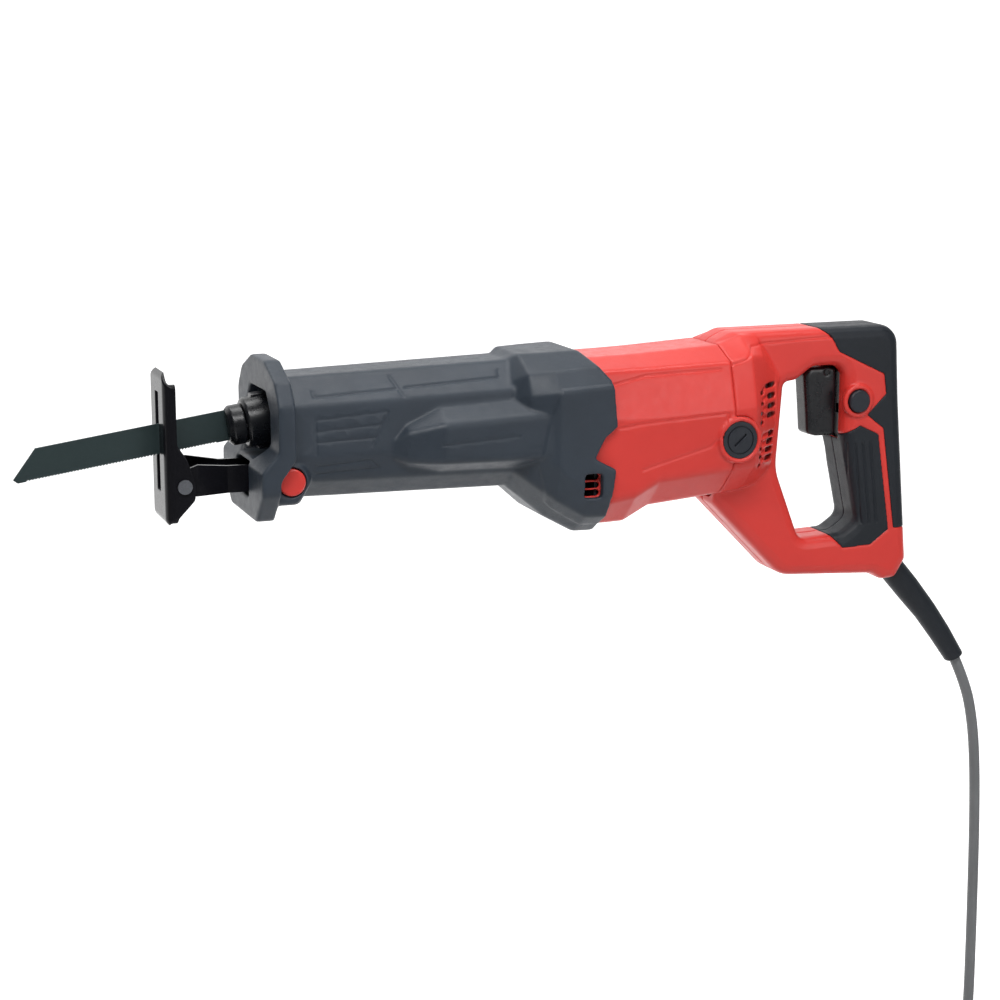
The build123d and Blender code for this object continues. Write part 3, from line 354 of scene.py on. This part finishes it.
LOUVRES = [[(-91.5, z - 2.6), (-88.2, z), (-79.5, z + 0.4)]
           for z in (53.6, 47.8, 41.8, 36.2, 24.8, 20.2, 15.2, 10.2)]
FINGER_GROOVES = [[(-22.5 + 5.2 * i, 13.0), (-16.5 + 5.2 * i, -37.5)] for i in range(4)]


def round_bends(mesh):
    """Turns the shoe's square side edges into wide pressed bends."""
    spots, _ = vertex_arrays(mesh)
    past = np.clip(np.abs(spots[:, 1]) - (SHOE_HALF - BEND_R), 0, BEND_R)
    drop = BEND_R - np.sqrt(BEND_R ** 2 - past ** 2)
    share = np.clip((SHOE_BACK - spots[:, 0]) / (SHOE_BACK - SHOE_FACE), 0, 1)
    spots[:, 0] += drop * share
    mesh.vertices.foreach_set("co", (spots * MM).ravel())
    mesh.update()


def carve_cover(mesh):
    raise_panel(mesh, SIDE_PANEL)
    engrave(mesh, COVER_LINES)


def carve_motor(mesh):
    engrave(mesh, MOTOR_LINES, width=1.1, depth=0.6)


def carve_handle(mesh):
    engrave(mesh, HANDLE_LINES, width=1.1, depth=0.6)
    engrave(mesh, LOUVRES, width=1.7, depth=2.2)


def carve_grip(mesh):
    engrave(mesh, FINGER_GROOVES, width=1.0, depth=0.8)


def build_shells():
    """The shells, grips and small mouldings that stand in for their CAD nodes."""
    remoulded("front_cover", carve_cover)
    remoulded("motor_housing", carve_motor)
    for side in ("left", "right"):
        remoulded("handle_" + side, carve_handle)
        remoulded("rear_grip_" + side)
        remoulded("front_grip_" + side, carve_grip)
    remoulded("shoe_plate", round_bends)
    for name in ("trigger", "clamp_nose", "blade_clamp_sleeve", "cord_guard"):
        remoulded(name)


# ---- Cord --------------------------------------------------------------------------------------
def coil_points():
    """The tied turns: each moves into the lane that the turn after it has just left."""
    spots, steps = [], 14
    turns = len(COIL_LANES) - 1
    for i in range(turns * steps + 1):
        turn = min(i // steps, turns - 1)
        share = i / steps - turn
        here, following = COIL_LANES[turn], COIL_LANES[turn + 1]
        moved = min(max(share * turns - (turns - 1 - turn), 0.0), 1.0)
        outward = here[0] + (following[0] - here[0]) * moved
        across = here[1] + (following[1] - here[1]) * moved
        angle = math.pi + 2 * math.pi * i / steps
        spots.append((RING_X + (RING_R + outward) * math.cos(angle), across,
                      RING_Z + (RING_R + outward) * math.sin(angle)))
    return spots


def build_cord():
    """The mains cord: hanging run, tied turns and the tail into the plug."""
    route = CORD_ROUTE + coil_points() + TAIL_ROUTE
    curve = bpy.data.curves.new("mains_cord", "CURVE")
    curve.dimensions = "3D"
    spline = curve.splines.new("NURBS")
    spline.points.add(len(route) - 1)
    for point, (x, y, z) in zip(spline.points, route):
        point.co = (x * MM, y * MM, z * MM, 1)
    spline.order_u = 3
    spline.use_endpoint_u = True
    spline.resolution_u = 6
    curve.bevel_depth = CORD_D / 2 * MM
    curve.bevel_resolution = 6
    curve.use_fill_caps = True
    curve.materials.append(SHEATH)
    piece = bpy.data.objects.new("mains_cord", curve)
    bpy.context.scene.collection.objects.link(piece)
    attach(piece, "casing")
    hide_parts("cord", "cord_coil")


# ---- Studio --------------------------------------------------------------------------------------
FLOOR_GAP = 0.004                           # m below the lowest point of the saw


def build_camera():
    """A long lens from in front of the left side and a little above."""
    azimuth, elevation, distance = math.radians(20), math.radians(11.5), 1.32
    target = Vector((-0.245, 0, -0.010))
    back = Vector((-math.sin(azimuth) * math.cos(elevation),
                   -math.cos(azimuth) * math.cos(elevation), math.sin(elevation)))
    data = bpy.data.cameras.new("camera")
    data.lens, data.sensor_width = 80, 36
    camera = bpy.data.objects.new("camera", data)
    camera.location = target + back * distance
    camera.rotation_euler = back.to_track_quat("Z", "Y").to_euler()
    bpy.context.scene.collection.objects.link(camera)
    bpy.context.scene.camera = camera


def area_light(name, place, aim, size, power):
    data = bpy.data.lights.new(name, "AREA")
    data.shape, data.size, data.size_y, data.energy = "RECTANGLE", size[0], size[1], power
    light = bpy.data.objects.new(name, data)
    light.location = place
    light.rotation_euler = (Vector(place) - Vector(aim)).to_track_quat("Z", "Y").to_euler()
    bpy.context.scene.collection.objects.link(light)


def build_studio():
    """A pale floor that curves up into a pale wall, a soft white sky and three area lights; floor
    and wall carry a painted glow that grows towards the back and lights the saw from behind.
    """
    reach, wall, bend, steps = 9.0, 5.0, 3.0, 24
    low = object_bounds()[0][2] - FLOOR_GAP
    profile = [(-reach, low), (wall - bend, low)]
    for i in range(1, steps + 1):
        turn = math.pi / 2 * i / steps
        profile.append((wall - bend + bend * math.sin(turn), low + bend * (1 - math.cos(turn))))
    profile.append((wall, low + reach))
    spots = [(x, y, z) for y, z in profile for x in (-reach, reach)]
    faces = [(2 * i, 2 * i + 1, 2 * i + 3, 2 * i + 2) for i in range(len(profile) - 1)]
    mesh = bpy.data.meshes.new("floor")
    mesh.from_pydata(spots, [], faces)
    mesh.shade_smooth()
    floor = bpy.data.objects.new("floor", mesh)
    bpy.context.scene.collection.objects.link(floor)
    mat, tree, shader = new_material("pale_floor_painted_glow")
    shader.inputs["Base Color"].default_value = (0.7, 0.7, 0.7, 1)
    shader.inputs["Roughness"].default_value = 0.95
    shader.inputs["Emission Color"].default_value = (1, 1, 1, 1)
    # Painted glow: the floor and wall emit light, none up to Y 0 and rising to strength 0.9 from
    # 0.6 m back, so they light the saw from behind while its undersides stay darker.
    coords = tree.nodes.new("ShaderNodeTexCoord")
    axes = tree.nodes.new("ShaderNodeSeparateXYZ")
    glow = add(tree, "ShaderNodeMapRange", From_Min=0.0, From_Max=0.6, To_Min=0.0, To_Max=0.9)
    tree.links.new(coords.outputs["Object"], axes.inputs["Vector"])
    tree.links.new(axes.outputs["Y"], glow.inputs["Value"])
    tree.links.new(glow.outputs["Result"], shader.inputs["Emission Strength"])
    mesh.materials.append(mat)
    world = bpy.data.worlds.new("studio")
    world.use_nodes = True
    world.node_tree.nodes["Background"].inputs["Color"].default_value = (1, 1, 1, 1)
    world.node_tree.nodes["Background"].inputs["Strength"].default_value = 0.20
    bpy.context.scene.world = world
    middle = (-0.2, 0, 0.03)
    area_light("key", (-0.7, -1.3, 1.5), middle, (1.3, 0.5), 27)
    area_light("fill", (0.7, -1.7, 0.5), middle, (0.7, 1.0), 8)
    area_light("top", (-0.1, 0.1, 1.5), middle, (1.8, 0.5), 17)
    bpy.context.scene.view_settings.view_transform = "Standard"


build_camera()
dress_nodes()
build_cord()
build_shells()
build_studio()
